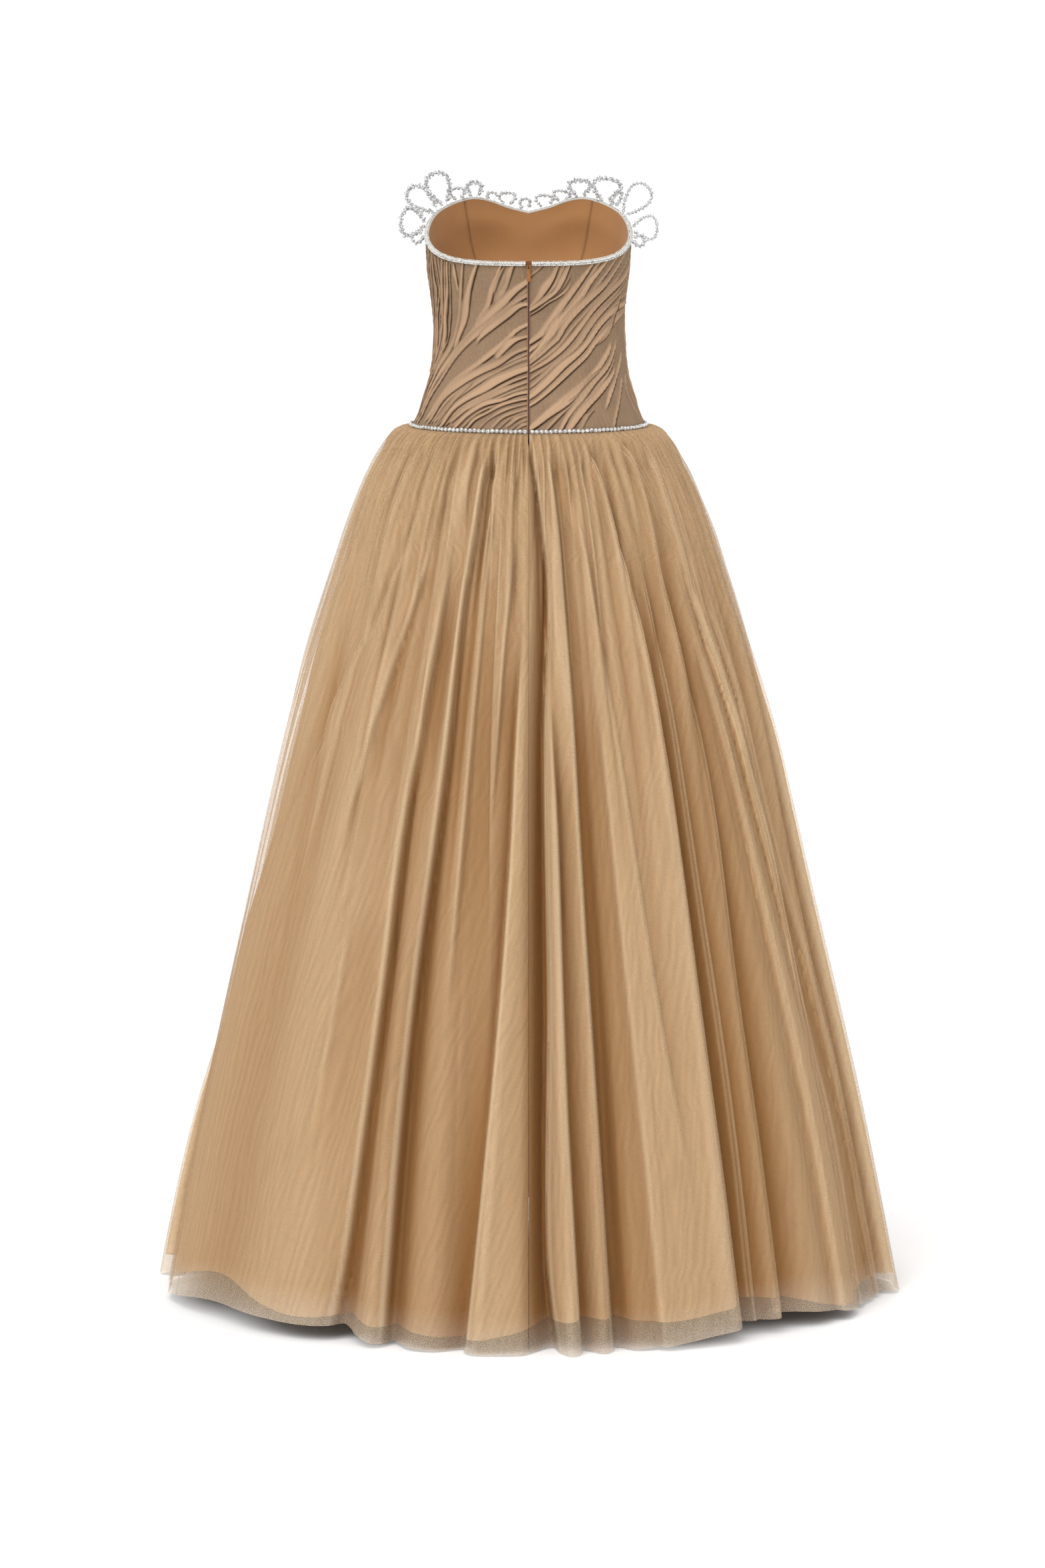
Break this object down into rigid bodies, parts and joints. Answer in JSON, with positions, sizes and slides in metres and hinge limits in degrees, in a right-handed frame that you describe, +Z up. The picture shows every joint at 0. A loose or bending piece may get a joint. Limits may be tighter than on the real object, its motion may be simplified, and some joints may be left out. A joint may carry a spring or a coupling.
{
  "type": "strapless ball gown",
  "caption": "Strapless ball gown, filled out as worn: draped bodice with sweetheart neck and crystal trims, dropped waist, full gathered tulle skirt, zip at the back.",
  "frame": {"origin": "middle of the natural waist, where the wearer holds the gown up", "axes": "+Z up, +Y out of the wearer's front, +X to the wearer's right"},
  "size_m": [0.978, 0.924, 1.4746],
  "materials": {
    "chiffon": "matte, crinkled",
    "satin": "soft sheen",
    "tulle": "matte, sheer net in layers",
    "underlayer": "matte",
    "crystal": "clear, faceted",
    "copper_paint": "satin",
    "zip_tape": "woven tape and nylon coil"
  },
  "bodies": {
    "gown": {"bodice_front": "chiffon", "bodice_back_left": "chiffon", "bodice_back_right": "chiffon", "lining_front": "satin", "lining_left": "satin", "lining_right": "satin", "neck_trim": "crystal", "waist_trim": "crystal", "overskirt_front": "tulle", "underskirt_front": "underlayer", "overskirt_back_left": "tulle", "underskirt_back_left": "underlayer", "overskirt_back_right": "tulle", "underskirt_back_right": "underlayer", "crystal_strand_01": "crystal", "crystal_strand_02": "crystal", "crystal_strand_03": "crystal", "crystal_strand_04": "crystal", "crystal_strand_05": "crystal", "crystal_strand_06": "crystal", "crystal_strand_07": "crystal", "crystal_strand_08": "crystal", "crystal_strand_09": "crystal", "crystal_strand_10": "crystal", "crystal_strand_11": "crystal", "crystal_strand_12": "crystal", "crystal_strand_13": "crystal", "crystal_strand_14": "crystal", "crystal_strand_15": "crystal", "crystal_strand_16": "crystal", "crystal_strand_17": "crystal", "zip_chain": "zip_tape", "zip_slider": "copper_paint"},
    "pull_tab": {"zip_pull": "copper_paint"}
  },
  "joints": [
    {"name": "pull_swing", "type": "hinge", "parent": "gown", "child": "pull_tab", "pos_m": [0, -0.10563, 0.1052], "axis": [-1, 0, 0], "range_deg": [0, 150]}
  ]
}
